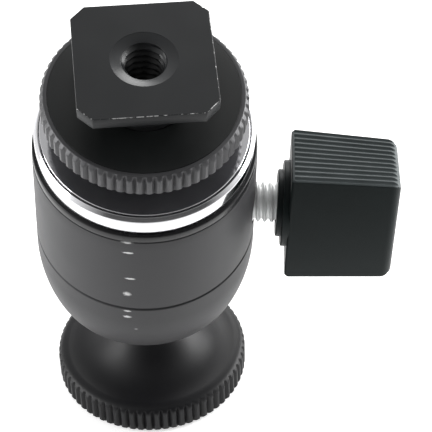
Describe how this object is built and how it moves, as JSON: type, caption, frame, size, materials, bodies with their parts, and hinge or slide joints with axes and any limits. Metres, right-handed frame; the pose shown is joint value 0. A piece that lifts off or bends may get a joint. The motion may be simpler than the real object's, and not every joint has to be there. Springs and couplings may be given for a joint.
{
  "type": "mini ball head",
  "caption": "Miniature ball head with a wing clamp knob, a knurled camera platform and an accessory-shoe foot with a knurled lock nut.",
  "frame": {"origin": "centre of the camera platform's outer face, on the axis of its screw", "axes": "+Z is the platform's axis towards the ball; the housing leans 14 degrees towards -Y; the clamp knob points towards +X"},
  "size_m": [0.054, 0.0393, 0.0809],
  "materials": {
    "shoe_metal": "satin black",
    "nut_metal": "black anodised, satin",
    "washer_rubber": "matte",
    "gloss_black": "black anodised, polished",
    "bright_trim": "bright diamond-turned",
    "housing_metal": "bead-blasted, black anodised",
    "platform_metal": "black anodised, satin",
    "pad_rubber": "matte",
    "zinc_steel": "zinc plated",
    "dark_steel": "blackened",
    "spring_steel": "bright drawn",
    "brass": "turned",
    "white_acetal": "moulded",
    "black_acetal": "moulded",
    "knob_plastic": "moulded, fine grain"
  },
  "bodies": {
    "platform": {"camera_platform": "platform_metal", "platform_pad": "pad_rubber", "camera_screw": "zinc_steel"},
    "ball": {"ball_and_neck": "dark_steel"},
    "seat": {"seat_ring": "white_acetal"},
    "head": {"housing": "housing_metal", "lip_ring": "gloss_black", "trim_ring": "bright_trim", "base_cap": "bright_trim", "preload_spring": "spring_steel", "shoe_plate": "shoe_metal", "threaded_post": "shoe_metal", "foot_stud": "zinc_steel"},
    "clamp_pin": {"thrust_pin": "spring_steel"},
    "knob": {"clamp_stud": "zinc_steel", "wing_knob": "knob_plastic"},
    "piston": {"pressure_piston": "brass", "friction_cup": "black_acetal"},
    "washer": {"nut_washer": "washer_rubber"},
    "nut": {"lock_nut": "nut_metal"}
  },
  "joints": [
    {"name": "ball_spin", "type": "hinge", "parent": "platform", "child": "ball", "pos_m": [0, 0, 0.0244], "axis": [0, 0, 1], "continuous": true},
    {"name": "head_tilt", "type": "hinge", "parent": "ball", "child": "seat", "pos_m": [0, 0, 0.0244], "axis": [1, 0, 0], "range_deg": [-52, 24]},
    {"name": "head_pan", "type": "hinge", "parent": "seat", "child": "head", "pos_m": [0, 0, 0.0244], "axis": [0, -0.2419, 0.9703], "continuous": true},
    {"name": "knob_travel", "type": "slide", "parent": "head", "child": "clamp_pin", "axis": [0.9681, -0.2429, -0.0606], "range_m": [0, 0.002]},
    {"name": "knob_turn", "type": "hinge", "parent": "clamp_pin", "child": "knob", "pos_m": [0, -0.00419, 0.04119], "axis": [0.9681, -0.2429, -0.0606], "range_deg": [0, 721]},
    {"name": "piston_lift", "type": "slide", "parent": "head", "child": "piston", "axis": [0, -0.2419, 0.9703], "range_m": [0, 0.00026]},
    {"name": "nut_travel", "type": "slide", "parent": "head", "child": "washer", "axis": [0, -0.2419, 0.9703], "range_m": [-0.0035, 0.005]},
    {"name": "nut_turn", "type": "hinge", "parent": "washer", "child": "nut", "pos_m": [0, -0.01016, 0.06515], "axis": [0, -0.2419, 0.9703], "range_deg": [-1261, 1801]}
  ],
  "couplings": [
    {"joint": "knob_turn", "follows": "knob_travel", "rad_per_m": 6283.2},
    {"joint": "piston_lift", "follows": "knob_travel", "ratio": 0.125},
    {"joint": "nut_turn", "follows": "nut_travel", "rad_per_m": 6283.2}
  ]
}
